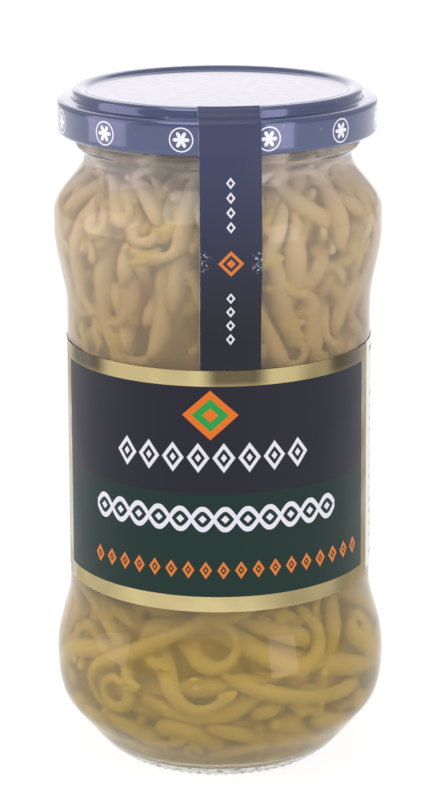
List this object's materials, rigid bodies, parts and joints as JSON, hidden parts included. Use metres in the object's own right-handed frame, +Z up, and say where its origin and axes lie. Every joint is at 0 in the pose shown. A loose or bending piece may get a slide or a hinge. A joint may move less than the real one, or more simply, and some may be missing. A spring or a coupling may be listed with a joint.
{
  "type": "jar of bean sprouts",
  "caption": "Clear waisted glass jar of bean sprouts in brine, sealed by a twist-off metal lid, with paper labels and a paper seal strip.",
  "frame": {"origin": "on the jar's axis, in the plane of the foot ring that it stands on", "axes": "+Z up along the jar's axis; -Y is the front, where the seal strip and the middle of the front label are; +X is to the viewer's right"},
  "size_m": [0.0716, 0.0716, 0.145],
  "materials": {
    "clear_glass": "gloss",
    "blue_lacquer": "gloss",
    "sealing_compound": "matte",
    "strip_paper": "satin",
    "label_paper": "satin",
    "pale_paper": "matte",
    "brine": "gloss",
    "sprout_flesh": "satin"
  },
  "bodies": {
    "root": {"glass_jar": "clear_glass", "lid_cap": "blue_lacquer", "lid_gasket": "sealing_compound", "seal_strip": "strip_paper", "front_label": "label_paper", "back_label": "pale_paper", "brine": "brine", "sprouts_lower": "sprout_flesh", "sprouts_middle": "sprout_flesh", "sprouts_upper": "sprout_flesh"}
  },
  "joints": []
}
